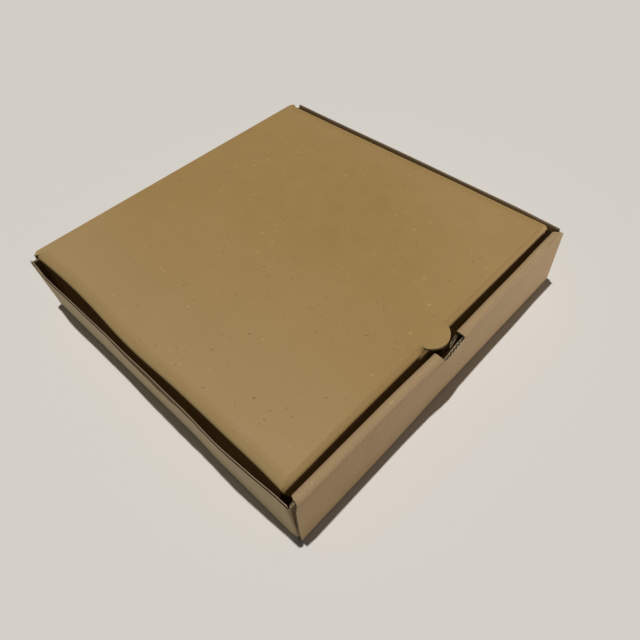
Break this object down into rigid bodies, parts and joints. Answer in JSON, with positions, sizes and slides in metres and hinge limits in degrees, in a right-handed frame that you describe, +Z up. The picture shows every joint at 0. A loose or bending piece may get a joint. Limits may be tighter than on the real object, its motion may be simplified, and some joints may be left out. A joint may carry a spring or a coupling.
{
  "type": "pizza box",
  "caption": "Closed corrugated-board pizza box with a hinged tuck-in lid, a half-moon thumb tab and a notched roll-over front wall.",
  "frame": {"origin": "on the floor under the middle of the closed box", "axes": "+X to the box's right as seen from its front, +Y from the front wall to the lid's crease, +Z up"},
  "size_m": [0.2614, 0.2618, 0.0469],
  "materials": {
    "tray_board": "plain brown kraft liner, matt",
    "lid_board": "plain brown kraft liner, matt"
  },
  "bodies": {
    "tray": {"tray": "tray_board"},
    "lid": {"lid": "lid_board"}
  },
  "joints": [
    {"name": "lid_hinge", "type": "hinge", "parent": "tray", "child": "lid", "pos_m": [0, 0.13012, 0.0461], "axis": [-1, 0, 0], "range_deg": [0, 180]}
  ]
}
